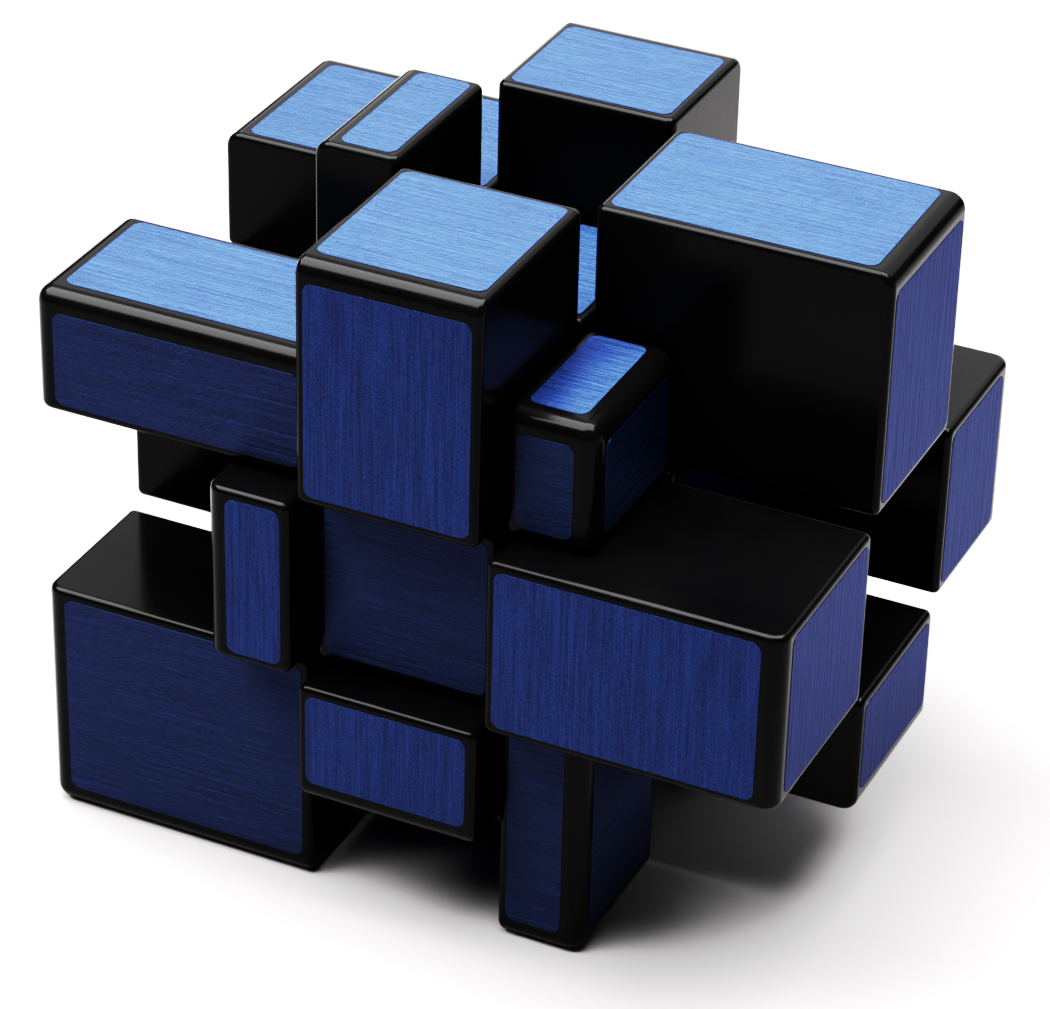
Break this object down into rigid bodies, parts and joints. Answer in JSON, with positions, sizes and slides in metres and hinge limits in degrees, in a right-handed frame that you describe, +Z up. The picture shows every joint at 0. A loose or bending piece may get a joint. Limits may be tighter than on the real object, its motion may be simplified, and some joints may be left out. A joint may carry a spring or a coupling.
{
  "type": "twisty puzzle cube",
  "caption": "Twisty puzzle of unequal glossy black blocks with brushed blue foil faces, turned to a stepped pattern, on a screwed six-arm core.",
  "frame": {"origin": "middle of the base, on the surface the puzzle stands on, straight under the centre of the core", "axes": "+Z up through the top centre, +X to the right side, -Y to the front"},
  "size_m": [0.077, 0.061, 0.069],
  "materials": {
    "block_plastic": "glossy black moulded plastic",
    "inner_plastic": "satin black moulded plastic",
    "steel": "bright zinc-plated steel",
    "sticker": "brushed blue metallic foil"
  },
  "bodies": {
    "middle_layer": {"back_centre_cap": "block_plastic", "back_centre_hub": "inner_plastic", "back_left_edge": "block_plastic", "back_right_edge": "block_plastic", "back_screw": "steel", "back_spring": "steel", "back_washer": "steel", "bottom_screw": "steel", "core_spider": "inner_plastic", "front_centre_cap": "block_plastic", "front_centre_hub": "inner_plastic", "front_left_edge": "block_plastic", "front_right_edge": "block_plastic", "front_screw": "steel", "front_spring": "steel", "front_washer": "steel", "left_centre_cap": "block_plastic", "left_centre_hub": "inner_plastic", "left_screw": "steel", "left_spring": "steel", "left_washer": "steel", "right_centre_cap": "block_plastic", "right_centre_hub": "inner_plastic", "right_screw": "steel", "right_spring": "steel", "right_washer": "steel", "top_screw": "steel"},
    "top_layer": {"top_back_edge": "block_plastic", "top_back_left_corner": "block_plastic", "top_back_right_corner": "block_plastic", "top_centre_cap": "block_plastic", "top_centre_hub": "inner_plastic", "top_front_edge": "block_plastic", "top_front_left_corner": "block_plastic", "top_front_right_corner": "block_plastic", "top_left_edge": "block_plastic", "top_right_edge": "block_plastic", "top_spring": "steel", "top_washer": "steel"},
    "bottom_layer": {"bottom_back_edge": "block_plastic", "bottom_back_left_corner": "block_plastic", "bottom_back_right_corner": "block_plastic", "bottom_centre_cap": "block_plastic", "bottom_centre_hub": "inner_plastic", "bottom_front_edge": "block_plastic", "bottom_front_left_corner": "block_plastic", "bottom_front_right_corner": "block_plastic", "bottom_left_edge": "block_plastic", "bottom_right_edge": "block_plastic", "bottom_spring": "steel", "bottom_washer": "steel"}
  },
  "joints": [
    {"name": "top_layer_turn", "type": "hinge", "parent": "middle_layer", "child": "top_layer", "pos_m": [0, 0, 0.0345], "axis": [0, 0, 1], "continuous": true},
    {"name": "bottom_layer_turn", "type": "hinge", "parent": "middle_layer", "child": "bottom_layer", "pos_m": [0, 0, 0.0345], "axis": [0, 0, -1], "continuous": true}
  ]
}
